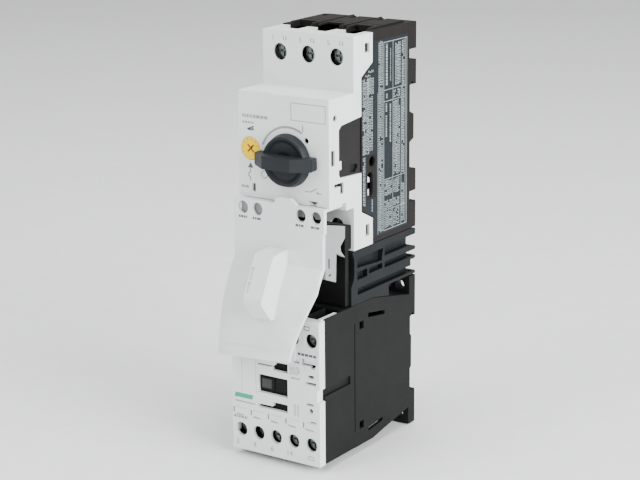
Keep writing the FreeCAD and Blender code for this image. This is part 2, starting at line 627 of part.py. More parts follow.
def contactor_rail_clip():
    plate = box(-8.0, 8.0, -2.9, -0.3, 0.6, 17.0)
    nose = side_shape([(-3, 17.0), (-1.4, 17.0), (-3, 15.7)], -9, 9)
    return plate.cut([nose, box(-2.3, 2.3, -4, 1, 3.4, 12.6)])


def contactor_clip_spring():
    return coil_spring(Vector(0, -1.7, CLIP_PEG_Z + 1.0), Vector(0, 0, 1), 4.8, 0.95, 0.35, 5)


def contactor_cover():
    """White front with the screw holes, the indicator window and the marker flaps."""
    body = box(-HALF, HALF, CON_FRONT_Y, CON_SEAM_Y, CON_LOW - 0.2, CON_HIGH - 0.7)
    front = CON_FRONT_Y - 1
    deep = CON_FRONT_Y + 3
    tools = [box(-INNER, INNER, CON_FRONT_Y + 2, CON_SEAM_Y + 1, CON_LOW + 1.3, CON_HIGH - 2.2)]
    for x in CON_COLUMNS:
        for z in (UPPER_SCREW_Z, LOWER_SCREW_Z):
            tools.append(rod_y(x, z, 3.05, front, deep))
    tools.append(box(-8.9, 6.4, front, deep, 30.1, 38.2))
    # stepped accessory slots above and below the window
    tools.append(front_shape([(-9.0, 42.3), (-2.0, 42.3), (-1.4, 41.0), (6.5, 41.0), (6.5, 44.9),
                              (0.4, 44.9), (-0.6, 43.1), (-9.0, 43.1)], front, deep))
    tools.append(front_shape([(-9.0, 23.4), (6.3, 23.4), (6.3, 27.0), (-1.4, 27.0), (-1.4, 25.0),
                              (-9.0, 25.0)], front, deep))
    # panel around the coil terminal, and the small openings right of the window
    tools.append(front_shape([(10.2, 47.4), (21.6, 47.4), (21.6, 64.2), (10.2, 64.2)],
                             front, CON_FRONT_Y + 0.5))
    for x0, x1, z0, z1 in ((9.6, 12.5, 46.4, 47.2), (13.5, 14.5, 46.9, 48.8),
                           (13.5, 20.8, 46.2, 47.2), (17.8, 20.3, 45.2, 46.5),
                           (16.6, 19.7, 40.9, 42.3), (15.4, 20.8, 38.0, 39.2),
                           (15.8, 19.4, 28.9, 29.9), (17.6, 20.7, 21.5, 22.2)):
        tools.append(box(x0, x1, front, deep, z0, z1))
    tools.append(rod_y(18.1, 26.7, 1.1, front, deep))
    # outline of the marker field, and of the five flaps
    for x in (-17.4, -10.1):
        tools.append(box(x, x + 0.35, front, CON_FRONT_Y + 0.3, 29.0, 46.0))
    for x in CON_COLUMNS:
        tools.append(box(x - 4.2, x - 3.4, front, deep, 18.7, 21.1))
        tools.append(front_shape([(x - 3.3, 18.6), (x + 1.4, 18.2), (x + 1.4, 17.8),
                                  (x - 2.2, 17.8)], front, CON_FRONT_Y + 1.6))
        tools.append(box(x - 3.2, x + 3.2, front, CON_FRONT_Y + 0.25, 21.1, 21.4))
    # grip notches in the edges
    for x0, x1 in ((-HALF - 1, -HALF + 1.2), (HALF - 1.2, HALF + 1)):
        tools.append(box(x0, x1, front, CON_SEAM_Y + 1, 30.9, 36.4))
    tongues = [box(x0, x1, CON_SEAM_Y - 1.5, TONGUE_END_Y, TONGUE_Z, CON_HIGH)
               for x0, x1 in ((-21.7, -20.3), (20.3, 21.7))]
    return body.cut(tools).fuse(tongues).removeSplitter()


BAR_Z = (31.5, 37.5)
BRIDGE_PADS = (25.5, 43.3)


def contactor_carrier():
    bar = box(-20.7, 11.8, -70.3, -62.6, BAR_Z[0], BAR_Z[1])
    windows = [box(x - 2.2, x + 2.2, -69.0, -64.6, BAR_Z[0] - 1, BAR_Z[1] + 1)
               for x in CONTACT_COLUMNS]
    post = box(-7.9, 5.6, -73.4, -70.3, 31.0, 37.4)
    tab = box(-7.9, -1.2, -73.9, -73.4, 31.6, 36.8)
    stem = box(-5.0, 5.0, -62.6, -49.0, BAR_Z[0], BAR_Z[1])
    plate = box(-14.4, 14.4, -49.0, -45.0, 29.0, 39.0)
    return bar.cut(windows).fuse([post, tab, stem, plate])


def contactor_bridge(x):
    strip = box(x - 1.9, x + 1.9, -65.6, -64.6, 23.8, 45.0)
    return strip.fuse([rod_y(x, z, 1.4, -64.6, -63.8) for z in BRIDGE_PADS])


def contactor_contact_spring(x):
    return coil_spring(Vector(x, -69.0, 34.5), Vector(0, 1, 0), 3.4, 1.4, 0.4, 3)


def contactor_fixed_contact(x, pad_z, z0, z1):
    strip = box(x - 2.0, x + 2.0, -58.2, -57.2, z0, z1)
    return strip.fuse(rod_y(x, pad_z, 1.4, -59.0, -58.2))


def coil_terminal(x, z_end, z0, z1):
    upright = box(x - 2.0, x + 2.0, -58.2, -57.2, z0, z1)
    return upright.fuse(box(x - 2.0, x + 2.0, -57.2, -33.6, z_end, z_end + 1.0))


def contactor_cage(x, z):
    return clamp_cage(x, z, 2.9, 4.1, -68.2, -56.0, 1.6, 0.7, CON_SCREW_R)


def contactor_screw(x, z, head_y, tip_y):
    return slotted_screw(x, z, head_y, 2.7, CON_HEAD_BACK_Y - head_y, CON_SCREW_R, tip_y)


LEG_Z = ((14.0, 19.0), (29.0, 39.0), (49.0, 54.0))


def e_core(yoke, legs):
    """A laminated E-shaped core: yoke and legs given as y ranges."""
    core = box(-7.0, 7.0, yoke[0], yoke[1], LEG_Z[0][0], LEG_Z[2][1])
    return core.fuse([box(-7.0, 7.0, legs[0], legs[1], z0, z1) for z0, z1 in LEG_Z])


def coil_bobbin():
    tube = box(-8.4, 8.4, -33.0, -14.2, 27.6, 40.4)
    flanges = [rounded(box(-14.5, 14.5, y, y + 1.0, 20.0, 48.0), 2.0, "y") for y in (-34.0, -14.2)]
    return tube.fuse(flanges).cut(box(-7.4, 7.4, -40, -10, 28.6, 39.4))


def coil_winding():
    pack = rounded(box(-14.0, 14.0, -33.0, -14.2, 20.6, 47.4), 3.5, "y")
    return pack.cut(box(-8.4, 8.4, -40, -10, 27.6, 40.4))


def shading_ring(z):
    """Copper ring let into the end of an outer magnet leg."""
    outer = box(-5.2, 5.2, -27.0, -25.8, z + 0.9, z + 4.1)
    return outer.cut(box(-4.2, 4.2, -28, -24, z + 1.9, z + 3.1))


def magnet_core():
    core = e_core((-13.0, -7.0), (-27.0, -13.0))
    pockets = []
    for z in (LEG_Z[0][0], LEG_Z[2][0]):
        pocket = box(-5.2, 5.2, -27.0, -25.8, z + 0.9, z + 4.1)
        pockets.append(pocket.cut(box(-4.2, 4.2, -28, -24, z + 1.9, z + 3.1)))
    return core.cut(pockets)


def return_spring(x):
    return coil_spring(Vector(x, -45.0, 34.0), Vector(0, 1, 0), 11.0, 2.0, 0.5, 6)


# ---------------------------------------------------------------- connecting frame
def connecting_frame():
    """Dark ribbed U that clips breaker and contactor together."""
    outline = [(-50.9, FRAME_LOW), (-35.0, FRAME_LOW), (-21.6, 64.0), (-21.6, 69.0), (0, 69.0),
               (0, 70.4), (-3.8, 70.9), (-3.8, 75.9), (0, 75.9), (0, 77.3), (-3.8, 77.8),
               (-3.8, 79.9), (0, 79.9), (0, 81.4), (-3.8, 81.9), (-3.8, 86.8), (0, 86.8),
               (0, 89.4), (-3.8, BRK_BOTTOM), (-48.8, BRK_BOTTOM), (-50.0, 89.0), (-48.8, 86.5),
               (-48.5, 84.0), (-48.5, 80.0), (-48.9, 77.5), (-50.9, 74.5)]
    body = side_shape(outline, -HALF, HALF)
    tools = [box(-17.5, 17.5, -60, -9.0, 60, 91)]
    for x0, x1 in ((-HALF - 1, -HALF + 2.4), (HALF - 2.4, HALF + 1)):
        tools.append(side_shape([(-46.3, 82.2), (-27.2, 81.0), (-26.2, 86.2), (-46.3, 86.2)],
                                x0, x1))
        tools.append(box(x0, x1, -25.0, -3.0, 82.6, 86.8))
        tools.append(box(x0, x1, -25.0, -3.0, 77.3, 79.9))
        tools.append(box(x0, x1, -46.3, -38.6, 76.9, 80.2))
        tools.append(box(x0, x1, -37.3, -26.8, 77.6, 79.9))
        tools.append(box(x0, x1, -46.0, -3.0, 70.4, 73.2))
    # room for the breaker's rail latch
    tools.append(box(-8.5, 8.5, -4.3, 1, 80, 91))
    return body.cut(tools)


# ---------------------------------------------------------------- link module
SHEET_T = 2.0
SHEET_POINTS = [(-71.2, 87.0), (-73.9, 83.0), (-77.7, 75.8), (-81.0, 66.3), (-82.9, 57.3),
                (-83.8, 46.8)]
GRIP_X = (-4.6, 4.6)


def curve_edge(points):
    curve = Part.BSplineCurve()
    curve.interpolate(points)
    return curve.toShape()


def curved_sheet():
    """The cover's front: flat above, then bowing forward and down."""
    front = [Vector(-HALF, y, z) for y, z in SHEET_POINTS]
    back = [Vector(-HALF, y + SHEET_T, z) for y, z in reversed(SHEET_POINTS)]
    top_front = Vector(-HALF, -70.9, FACE_LOW)
    top_back = Vector(-HALF, -70.9 + SHEET_T, FACE_LOW)
    edges = [Part.makeLine(top_front, front[0]), curve_edge(front), Part.makeLine(front[-1], back[0]),
             curve_edge(back), Part.makeLine(back[-1], top_back), Part.makeLine(top_back, top_front)]
    return Part.Face(Part.Wire(edges)).extrude(Vector(2 * HALF, 0, 0))


def sheet_outline():
    """What the sheet covers, seen from the front: it clears the coil terminal at the right."""
    corner = [Vector(HALF, -95, 79.0), Vector(18.4, -95, 67.0), Vector(15.3, -95, 58.0),
              Vector(13.1, -95, 49.3)]
    low_right = corner[-1]
    low_left = Vector(-HALF, -95, 46.9)
    top_left = Vector(-HALF, -95, 120)
    top_right = Vector(HALF, -95, 120)
    edges = [curve_edge(corner), Part.makeLine(low_right, low_left), Part.makeLine(low_left, top_left),
             Part.makeLine(top_left, top_right), Part.makeLine(top_right, corner[0])]
    return Part.Face(Part.Wire(edges)).extrude(Vector(0, 40, 0))


def grip_profile(inset, back):
    """Side view of the finger grip, from its flat top round to where it fades into the sheet."""
    return [(back, 94.0 - inset), (-81.2 + inset, 92.6 - inset), (-89.9 + inset * 1.2, 75.9),
            (-90.0 + inset * 1.2, 74.0), (-88.8 + inset * 1.1, 72.3 + inset * 0.3),
            (-86.6 + inset, 69.6 + inset), (-83.6 + inset, 66.0 + inset), (back, 64.0 + inset)]


def link_cover():
    sheet = curved_sheet().common(sheet_outline())
    outer = side_shape(grip_profile(0.0, -60.0), GRIP_X[0], GRIP_X[1])
    behind = side_shape([(-60, 60)] + [(y + 1.0, z) for y, z in reversed(SHEET_POINTS)]
                        + [(-69.9, FACE_LOW), (-60, FACE_LOW)], -HALF, HALF)
    grip = outer.cut(behind)
    pocket = side_shape(grip_profile(1.5, -60.0), GRIP_X[0] + 1.4, GRIP_X[1] - 1.4)
    rim = box(-INNER, INNER, -69.4, -55.0, LINK_TOP - WALL, LINK_TOP)
    tab = front_shape([(-2.2, 111.5), (-1.4, 114.2), (0.4, 114.8), (5.8, 114.6), (8.4, 112.6),
                       (9.6, 111.5)], -70.9, -68.9)
    cover = sheet.fuse([grip, rim, tab]).cut(pocket)
    tools = [rod_y(x, 108.2, 2.75, -73, -68) for x in (-18.1, -10.7, 10.9, 18.5)]
    # side step, and the two narrow slots beside the grip's front edge
    tools.append(box(HALF - 0.6, HALF + 1, -75, -60, 70, 101.8))
    for z0, z1 in ((82.7, 87.5), (77.7, 82.0)):
        slope = (90.0 - 81.2) / (92.6 - 75.9)
        y0 = -81.2 - (92.6 - z0) * slope
        y1 = -81.2 - (92.6 - z1) * slope
        tools.append(side_shape([(y1 - 1, z1), (y1 + 0.9, z1), (y0 + 0.9, z0), (y0 - 1, z0)],
                                GRIP_X[0] + 0.3, GRIP_X[0] + 1.8))
    return cover.cut(tools)


def link_body():
    """Carrier behind the cover that guides the three conductors."""
    outline = [(-68.6, 105.3), (-54.2, 101.8), (-54.2, 96.8), (-57.6, 93.9), (-57.2, 91.7),
               (-54.2, 88.4), (-60.6, 91.6), (-61.0, 79.4), (-68.6, 82.4)]
    flanks = [side_shape(outline, x0, x1) for x0, x1 in ((-21.6, -19.8), (19.8, 21.6))]
    front = box(-19.8, 19.8, -68.6, -67.0, 82.4, 105.2)
    shelf = box(-19.8, 19.8, -67.0, -56.0, 99.0, 100.6)
    floor = box(-19.8, 19.8, -67.0, -61.4, 82.4, 84.0)
    screens = [box(x - 0.6, x + 0.6, -67.0, -56.0, 84.0, 99.0) for x in (-9.0, 5.0)]
    backing = box(-20.5, -8.2, -68.6, -66.8, 105.0, 110.0)
    body = front.fuse(flanks + [shelf, floor, backing] + screens)
    slots = [box(19, 22.5, -66.6, -65.4, 86.4, 90.6), box(19, 22.5, -66.4, -64.6, 83.0, 83.9)]
    return body.cut(slots)


def link_conductor(x_top, x_low):
    """One phase: up into the breaker's load clamp, forward, and down into the contactor."""
    up = box(x_top - 1.6, x_top + 1.6, -29.2 - CONDUCTOR_T, -29.2, CONDUCTOR_Z, 104.0)
    down = box(x_low - 1.6, x_low + 1.6, -58.2 - CONDUCTOR_T, -58.2, 53.4, CONDUCTOR_Z + CONDUCTOR_T)
    across = plan_shape([(x_top - 1.6, -29.2), (x_top + 1.6, -29.2), (x_top + 1.6, -46.0),
                         (x_low + 1.6, -57.0), (x_low + 1.6, -59.8), (x_low - 1.6, -59.8),
                         (x_low - 1.6, -57.0), (x_top - 1.6, -46.0)],
                        CONDUCTOR_Z, CONDUCTOR_Z + CONDUCTOR_T)
    return up.fuse([across, down])


def link_block():
    """Black body of the link module: a back wall that the conductors pass, and a sloping lid."""
    wall = side_shape([(-53.9, 66.9), (-51.3, 66.9), (-51.3, 91.0), (-49.3, 91.0), (-49.3, 101.2),
                       (-53.9, 102.6)], -21.4, 21.4)
    lid = side_shape([(-66.4, 106.4), (-66.4, 105.15), (-53.9, 102.1), (-49.3, 99.9),
                      (-49.3, 101.2)], -21.4, 21.4)
    slots = [box(x0, x1, -55, -50, CONDUCTOR_Z - 0.4, CONDUCTOR_Z + CONDUCTOR_T + 0.4)
             for x0, x1 in ((-18.9, -13.9), (-8.5, -2.3), (1.9, 9.3))]
    return wall.fuse(lid).removeSplitter().cut(slots)


# ---------------------------------------------------------------- nodes
def breaker_nodes():
    node("breaker_base", breaker_base())
    node("breaker_cover", breaker_cover())
    node("side_blanking_plates", side_blanking_plate(-1), side_blanking_plate(1))
    node("rotary_handle", rotary_handle())
    node("handle_shaft", handle_shaft())
    node("handle_cam", handle_cam())
    node("current_dial", current_dial())
    node("test_lever", test_lever())
    node("mechanism_frame", mechanism_frame())
    node("lever_pin", lever_pin())
    node("latch_lever", latch_lever())
    node("breaker_contact_carrier", breaker_contact_carrier())
    node("breaker_contact_bridges", *[breaker_contact_bridge(x) for x in POLES])
    node("breaker_contact_springs", *[breaker_contact_spring(x) for x in POLES])
    node("breaker_line_contacts", *[breaker_line_contact(x) for x in POLES])
    node("breaker_load_contacts", *[breaker_load_contact(x) for x in POLES])
    node("trip_coils", *[trip_coil(x) for x in POLES])
    node("trip_yokes", *[trip_yoke(x) for x in POLES])
    for number, x in enumerate(POLES, 1):
        node("trip_plunger_%d" % number, trip_plunger(x))
    node("bimetal_strips", *[bimetal_strip(x) for x in POLES])
    node("breaker_load_strips", *[breaker_load_strip(x) for x in POLES])
    node("trip_bar", trip_bar())
    node("arc_plates", *[plate for x in POLES for plate in arc_plates(x)])
    node("arc_chamber_sides", *[arc_side(x + a, x + b) for x in POLES
                                for a, b in ((-5.8, -5.0), (5.0, 5.8))])
    node("line_terminal_clamps", *[breaker_cage(x, LINE_SCREW_Z) for x in POLES])
    node("line_terminal_screws", *[breaker_screw(x, LINE_SCREW_Z, -40.3) for x in POLES])
    node("load_terminal_clamps", *[breaker_cage(x, LOAD_SCREW_Z) for x in POLES])
    node("load_terminal_screws", *[breaker_screw(x, LOAD_SCREW_Z, -31.0) for x in POLES])
    node("breaker_rail_latch", breaker_rail_latch())
    node("breaker_latch_spring", breaker_latch_spring())


def contactor_nodes():
    node("contactor_cover", contactor_cover())
    node("contactor_housing", contactor_housing())
    node("terminal_dividers", *terminal_dividers())
    node("contactor_screen", contactor_screen())
    node("contactor_base", contactor_base())
    node("contactor_rail_clip", contactor_rail_clip())
    node("contactor_clip_spring", contactor_clip_spring())
    node("contactor_carrier", contactor_carrier())
    node("contactor_bridges", *[contactor_bridge(x) for x in CONTACT_COLUMNS])
    node("contactor_contact_springs", *[contactor_contact_spring(x) for x in CONTACT_COLUMNS])
    node("contactor_line_contacts",
         *[contactor_fixed_contact(x, BRIDGE_PADS[1], 41.8, 60.2) for x in CONTACT_COLUMNS])
    node("contactor_load_contacts",
         *[contactor_fixed_contact(x, BRIDGE_PADS[0], 8.3, 27.0) for x in CONTACT_COLUMNS])
    node("coil_terminals", coil_terminal(COIL_COLUMN, 50.0, 50.0, 60.2),
         coil_terminal(COIL_COLUMN, 18.0, 8.3, 19.0))
    node("contactor_line_clamps", *[contactor_cage(x, UPPER_SCREW_Z) for x in CON_COLUMNS])
    node("contactor_load_clamps", *[contactor_cage(x, LOWER_SCREW_Z) for x in CON_COLUMNS])
    linked = CONTACT_COLUMNS[:3]
    upper, lower, deeper = CON_HEAD_Y
    node("contactor_line_screws",
         *[contactor_screw(x, UPPER_SCREW_Z, upper, CLAMPED_TIP_Y if x in linked else OPEN_TIP_Y)
           for x in CON_COLUMNS])
    node("contactor_load_screws",
         *[contactor_screw(x, LOWER_SCREW_Z, deeper if x in CON_COLUMNS[:2] else lower, OPEN_TIP_Y)
           for x in CON_COLUMNS])
    node("magnet_armature", e_core((-45.0, -39.0), (-39.0, -31.8)))
    node("magnet_core", magnet_core())
    node("shading_rings", shading_ring(LEG_Z[0][0]), shading_ring(LEG_Z[2][0]))
    node("coil_bobbin", coil_bobbin())
    node("coil_winding", coil_winding())
    node("return_springs", return_spring(-11.0), return_spring(11.0))


def link_nodes():
    node("connecting_frame", connecting_frame())
    node("link_cover", link_cover())
    node("link_body", link_body())
    node("link_conductors", *[link_conductor(a, b) for a, b in zip(POLES, CONTACT_COLUMNS)])
    node("link_block", link_block())


def export_nodes():
    os.makedirs("parts", exist_ok=True)
    for name, solids in NODES.items():
        placed = []
        for solid in solids:
            part = solid.copy()
            part.translate(Vector(0, 0, -ORIGIN_HEIGHT))
            placed.append(part)
        shape = placed[0] if len(placed) == 1 else Part.makeCompound(placed)
        shape.exportStep("parts/%s.step" % name)
        print("%-28s solids %2d  valid %s  volume %9.1f" %
              (name, len(shape.Solids), shape.isValid(), shape.Volume))


breaker_nodes()
contactor_nodes()
link_nodes()
export_nodes()
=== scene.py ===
"""Looks for a compact motor starter: a rotary-handle breaker over a small contactor, with the
connecting frame and the plug-in link module between them.

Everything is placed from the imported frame. Sizes in this file are millimetres: x and y as in the
frame, and heights above the lowest edge of the part. at() turns them into metres in the frame.
"""
import json
import math
import random

import bpy
from mathutils import Matrix, Vector


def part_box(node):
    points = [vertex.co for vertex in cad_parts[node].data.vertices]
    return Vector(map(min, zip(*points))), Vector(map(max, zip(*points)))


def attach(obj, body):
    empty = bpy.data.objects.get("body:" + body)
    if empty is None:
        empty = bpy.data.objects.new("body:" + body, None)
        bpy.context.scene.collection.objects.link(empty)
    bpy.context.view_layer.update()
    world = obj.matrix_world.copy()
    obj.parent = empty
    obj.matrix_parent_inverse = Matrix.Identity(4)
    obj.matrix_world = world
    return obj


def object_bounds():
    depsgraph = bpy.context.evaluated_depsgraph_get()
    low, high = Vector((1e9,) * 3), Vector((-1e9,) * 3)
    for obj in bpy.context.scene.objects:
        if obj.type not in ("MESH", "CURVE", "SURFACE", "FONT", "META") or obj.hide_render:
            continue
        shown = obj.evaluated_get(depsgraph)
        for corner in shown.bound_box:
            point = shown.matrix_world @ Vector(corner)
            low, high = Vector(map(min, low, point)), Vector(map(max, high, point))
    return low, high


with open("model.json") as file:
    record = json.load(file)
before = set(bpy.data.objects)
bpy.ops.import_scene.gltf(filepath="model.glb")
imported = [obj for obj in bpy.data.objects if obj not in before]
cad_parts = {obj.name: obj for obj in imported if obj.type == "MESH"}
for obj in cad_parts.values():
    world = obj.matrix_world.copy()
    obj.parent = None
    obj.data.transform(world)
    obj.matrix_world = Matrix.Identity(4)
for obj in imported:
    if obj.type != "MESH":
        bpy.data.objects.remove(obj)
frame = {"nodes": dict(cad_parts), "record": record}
CAD_LOW, CAD_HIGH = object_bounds()

MM = 0.001
HALF = CAD_HIGH.x / MM                                   # half of the part's width
BREAKER_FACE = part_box("breaker_cover")[0].y / MM
CONTACTOR_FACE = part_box("contactor_cover")[0].y / MM
SCREW_DEPTH = 3.6                                        # screw heads sit this far behind the shoulders
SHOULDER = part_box("line_terminal_screws")[0].y / MM - SCREW_DEPTH   # face of the terminal shoulders
LINK_PRINT_Y = -70.96                                    # just in front of the link cover's upper plate
GLIMPSE_DEPTH = 1.3                                      # behind the outer face of the blanking plates
INK = 0.04                                               # thickness of a printed mark


def at(x, y, height):
    """A point given in millimetres, with its height above the lowest edge."""
    return Vector((x * MM, y * MM, CAD_LOW.z + height * MM))


def joint_centre(name):
    """x and height of a joint's axis, in millimetres."""
    joint = next(j for j in frame["record"]["behaviour"]["joints"] if j["name"] == name)
    x, _, z = joint["pos_m"]
    return x / MM, (z - CAD_LOW.z) / MM


HANDLE = joint_centre("handle_turn")
DIAL = joint_centre("current_dial_turn")


# ---------------------------------------------------------------- materials
def linked(tree, kind, **values):
    """A node of that kind, with its inputs set to numbers or joined to other outputs."""
    made = tree.nodes.new(kind)
    for key, value in values.items():
        socket = made.inputs[key.replace("_", " ")]
        if isinstance(value, bpy.types.NodeSocket):
            tree.links.new(value, socket)
        else:
            socket.default_value = value
    return made


def noise(tree, place, scale, detail):
    made = linked(tree, "ShaderNodeTexNoise", Vector=place, Scale=scale, Detail=detail)
    return made.outputs["Fac"]


def ramp(tree, fac, stops):
    """A colour ramp through (position, colour) stops."""
    made = linked(tree, "ShaderNodeValToRGB", Fac=fac)
    elements = made.color_ramp.elements
    while len(elements) < len(stops):
        elements.new(0.5)
    for element, (position, colour) in zip(elements, stops):
        element.position = position
        element.color = (*colour, 1)
    return made.outputs["Color"]


def shade(colour, factor):
    return tuple(min(1.0, c * factor) for c in colour)


def grey(value):
    return (value, value, value)


def new_material(name):
    made = bpy.data.materials.new(name)
    made.use_nodes = True
    tree = made.node_tree
    return made, tree, tree.nodes["Principled BSDF"]


def plastic(name, colour, roughness, grain=2600, depth=0.02, spread=0.05, sheen=0.5):
    """Moulded plastic: spark-eroded grain, faint flow clouding and uneven gloss."""
    made, tree, surface = new_material(name)
    place = tree.nodes.new("ShaderNodeTexCoord").outputs["Object"]
    cloud = noise(tree, place, 90, 3)
    tree.links.new(ramp(tree, cloud, [(0.3, shade(colour, 1 - spread)), (0.7, shade(colour, 1 + spread))]),
                   surface.inputs["Base Color"])
    fine = noise(tree, place, grain, 2)
    tree.links.new(ramp(tree, fine, [(0.3, grey(roughness - 0.06)), (0.7, grey(roughness + 0.06))]),
                   surface.inputs["Roughness"])
    bump = linked(tree, "ShaderNodeBump", Height=fine, Strength=0.35, Distance=depth * MM)
    tree.links.new(bump.outputs["Normal"], surface.inputs["Normal"])
    surface.inputs["Specular IOR Level"].default_value = sheen
    return made


def metal(name, colour, roughness, stretch=(1, 1, 12), scale=900):
    """Plated or drawn metal: fine directional brushing and patchy tarnish."""
    made, tree, surface = new_material(name)
    place = tree.nodes.new("ShaderNodeTexCoord").outputs["Object"]
    squeezed = linked(tree, "ShaderNodeMapping", Vector=place)
    squeezed.inputs["Scale"].default_value = stretch
    lines = noise(tree, squeezed.outputs["Vector"], scale, 3)
    patches = noise(tree, place, 260, 4)
    tree.links.new(ramp(tree, patches, [(0.25, shade(colour, 0.72)), (0.75, shade(colour, 1.08))]),
                   surface.inputs["Base Color"])
    tree.links.new(ramp(tree, lines, [(0.3, grey(roughness - 0.1)), (0.7, grey(roughness + 0.1))]),
                   surface.inputs["Roughness"])
    bump = linked(tree, "ShaderNodeBump", Height=lines, Strength=0.25, Distance=0.01 * MM)
    tree.links.new(bump.outputs["Normal"], surface.inputs["Normal"])
    surface.inputs["Metallic"].default_value = 1
    return made


def windings(name, colour, pitch, axis):
    """Lacquered wire laid side by side: round ridges along one axis, with painted shade darkening the
    grooves between turns.
    """
    made, tree, surface = new_material(name)
    place = tree.nodes.new("ShaderNodeTexCoord").outputs["Object"]
    wave = linked(tree, "ShaderNodeTexWave", Vector=place, Scale=math.pi / (10 * pitch * MM))
    wave.wave_type = "BANDS"
    wave.bands_direction = axis
    wave.wave_profile = "SIN"
    # painted shade: the colour drops to about a third in the grooves between turns
    tree.links.new(ramp(tree, wave.outputs["Fac"], [(0.05, shade(colour, 0.35)), (0.6, colour)]),
                   surface.inputs["Base Color"])
    bump = linked(tree, "ShaderNodeBump", Height=wave.outputs["Fac"], Strength=0.8,
                  Distance=pitch * MM / 3)
    tree.links.new(bump.outputs["Normal"], surface.inputs["Normal"])
    surface.inputs["Metallic"].default_value = 0.7
    surface.inputs["Roughness"].default_value = 0.3
    return made


COVER = plastic("cover_plastic", (0.74, 0.765, 0.77), 0.50, spread=0.025, sheen=0.35)
LINK = plastic("link_plastic", (0.73, 0.76, 0.765), 0.46, grain=3400, depth=0.012, spread=0.02, sheen=0.35)
# the carrier is light-grey plastic; this darker grey is painted shade for the shadow it sits in
CARRIER_SHADED = plastic("link_carrier_shaded", (0.27, 0.28, 0.285), 0.5, spread=0.05, sheen=0.2)
BREAKER_DARK = plastic("breaker_body", (0.013, 0.0118, 0.0112), 0.56, depth=0.035, spread=0.12, sheen=0.10)
CONTACTOR_DARK = plastic("contactor_body", (0.0085, 0.0088, 0.0090), 0.56, depth=0.035, spread=0.12,
                         sheen=0.10)
FRAME_DARK = plastic("frame_body", (0.0065, 0.0085, 0.0095), 0.54, depth=0.03, spread=0.12, sheen=0.15)
HANDLE_DARK = plastic("handle_body", (0.0125, 0.0155, 0.0185), 0.52, grain=2200, depth=0.04, spread=0.14,
                      sheen=0.24)
INNER_BLACK = plastic("inner_black", (0.005, 0.005, 0.005), 0.6, spread=0.15, sheen=0.15)
PLATE_DARK = plastic("plate_dark", (0.014, 0.0135, 0.0135), 0.58, spread=0.12, sheen=0.12)
DIAL_YELLOW = plastic("dial_plastic", (0.88, 0.59, 0.0), 0.38, grain=1500, depth=0.01, sheen=0.3)
BOBBIN = plastic("bobbin_plastic", (0.42, 0.38, 0.29), 0.5, spread=0.1)
FIBRE = plastic("fibre_board", (0.30, 0.17, 0.09), 0.75, grain=1200, depth=0.06, spread=0.2)
STEEL = metal("zinc_plate", (0.36, 0.40, 0.385), 0.34)
SCREW_STEEL = metal("screw_plate", (0.25, 0.29, 0.275), 0.38)
CORE = metal("core_sheet", (0.34, 0.35, 0.36), 0.40, stretch=(60, 1, 1))
WIRE = metal("spring_wire", (0.50, 0.50, 0.51), 0.25)
COPPER = metal("bare_copper", (0.80, 0.40, 0.26), 0.28)
TINNED = metal("tinned_copper", (0.72, 0.70, 0.64), 0.32)
ENAMEL_WIRE = windings("coil_wire", (0.50, 0.17, 0.07), 0.5, "Y")
HEAVY_WIRE = windings("heavy_wire", (0.66, 0.27, 0.12), 2.5, "Z")
PRINT_GREY = plastic("print_grey", (0.27, 0.28, 0.28), 0.6, spread=0.12)
PRINT_DARK = plastic("print_dark", (0.075, 0.08, 0.082), 0.6, spread=0.15)
PRINT_WHITE = plastic("print_white", (0.26, 0.30, 0.31), 0.6, spread=0.10, sheen=0.2)
PRINT_GREEN = plastic("print_green", (0.02, 0.34, 0.19), 0.55, spread=0.10)
PRINT_BROWN = plastic("print_brown", (0.20, 0.045, 0.0), 0.6, spread=0.2)
LABEL_DARK = plastic("label_film", (0.010, 0.014, 0.017), 0.50, grain=900, depth=0.006, spread=0.10,
                     sheen=0.14)
PANEL_GREY = plastic("panel_grey", (0.035, 0.036, 0.036), 0.55, sheen=0.3)

SLOT_LOOKS = {
    "cover_white": COVER, "breaker_dark": BREAKER_DARK, "contactor_dark": CONTACTOR_DARK,
    "frame_dark": FRAME_DARK, "handle_black": HANDLE_DARK, "dial_yellow": DIAL_YELLOW,
    "link_white": LINK, "inner_black": INNER_BLACK, "carrier_black": INNER_BLACK,
    "bobbin_plastic": BOBBIN, "fibre_board": FIBRE, "zinc_steel": STEEL, "core_steel": CORE,
    "spring_steel": WIRE, "copper": COPPER, "enamelled_copper": HEAVY_WIRE,
    "tinned_copper": TINNED,
}
NODE_LOOKS = {
    "coil_winding": ENAMEL_WIRE, "link_body": CARRIER_SHADED, "side_blanking_plates": PLATE_DARK,
    "line_terminal_screws": SCREW_STEEL, "load_terminal_screws": SCREW_STEEL,
    "contactor_line_screws": SCREW_STEEL, "contactor_load_screws": SCREW_STEEL,
}
EDGE_ROUNDING = {
    "breaker_cover": 0.22, "breaker_base": 0.18, "contactor_cover": 0.12, "contactor_housing": 0.22,
    "contactor_base": 0.22, "connecting_frame": 0.18, "link_cover": 0.30, "link_body": 0.20,
    "rotary_handle": 0.45, "current_dial": 0.12, "breaker_rail_latch": 0.2,
    "contactor_rail_clip": 0.2, "side_blanking_plates": 0.12, "link_block": 0.15,
    "line_terminal_screws": 0.15,
    "load_terminal_screws": 0.15, "contactor_line_screws": 0.12, "contactor_load_screws": 0.12,
}


